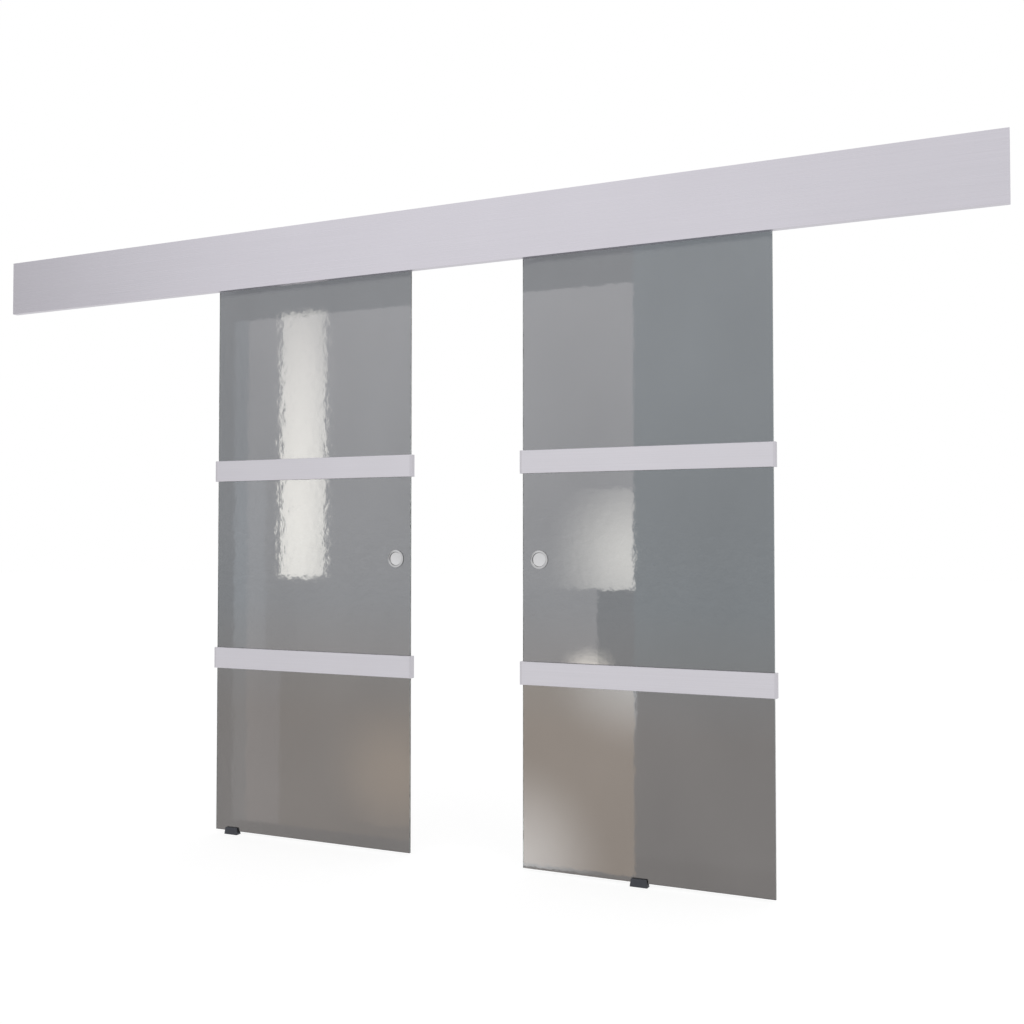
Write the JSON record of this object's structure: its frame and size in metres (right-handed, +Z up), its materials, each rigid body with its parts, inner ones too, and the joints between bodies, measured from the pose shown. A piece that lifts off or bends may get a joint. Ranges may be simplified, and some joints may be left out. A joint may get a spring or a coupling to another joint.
{
  "type": "double glass sliding door",
  "caption": "Top-hung double sliding door: satin-glass leaves with aluminium bands and shell pulls on a wall rail behind a long fascia, with floor guides.",
  "frame": {"origin": "centre of the rail's back face, on the wall", "axes": "+X along the wall to the viewer's right, +Y into the wall, +Z up; the front faces -Y"},
  "size_m": [3.73, 0.071, 2.2131],
  "materials": {
    "fascia_aluminium": "satin anodised",
    "rail_aluminium": "mill finish extrusion",
    "band_aluminium": "satin anodised",
    "pull_steel": "satin brushed",
    "satin_glass": "grey satin-etched toughened glass",
    "hanger_alloy": "bead blasted",
    "wheel_nylon": "natural nylon",
    "bolt_steel": "zinc plated",
    "buffer_rubber": "black rubber",
    "guide_plastic": "moulded slate-grey plastic"
  },
  "bodies": {
    "track": {"rail": "rail_aluminium", "fascia": "fascia_aluminium", "left_fascia_end_cap": "fascia_aluminium", "right_fascia_end_cap": "fascia_aluminium", "track_stops": "hanger_alloy", "stop_buffers": "buffer_rubber", "left_floor_guide": "guide_plastic", "right_floor_guide": "guide_plastic"},
    "left_leaf": {"left_glass": "satin_glass", "left_upper_band_front": "band_aluminium", "left_upper_band_back": "band_aluminium", "left_upper_band_ends": "band_aluminium", "left_lower_band_front": "band_aluminium", "left_lower_band_back": "band_aluminium", "left_lower_band_ends": "band_aluminium", "left_pull_front": "pull_steel", "left_pull_back": "pull_steel", "left_clamps": "hanger_alloy", "left_carriages": "hanger_alloy", "left_wheels": "wheel_nylon", "left_hanging_bolts": "bolt_steel"},
    "right_leaf": {"right_glass": "satin_glass", "right_upper_band_front": "band_aluminium", "right_upper_band_back": "band_aluminium", "right_upper_band_ends": "band_aluminium", "right_lower_band_front": "band_aluminium", "right_lower_band_back": "band_aluminium", "right_lower_band_ends": "band_aluminium", "right_pull_front": "pull_steel", "right_pull_back": "pull_steel", "right_clamps": "hanger_alloy", "right_carriages": "hanger_alloy", "right_wheels": "wheel_nylon", "right_hanging_bolts": "bolt_steel"}
  },
  "joints": [
    {"name": "left_leaf_slide", "type": "slide", "parent": "track", "child": "left_leaf", "axis": [-1, 0, 0], "range_m": [-0.024, 0.676]},
    {"name": "right_leaf_slide", "type": "slide", "parent": "track", "child": "right_leaf", "axis": [1, 0, 0], "range_m": [-0.376, 0.324]}
  ]
}
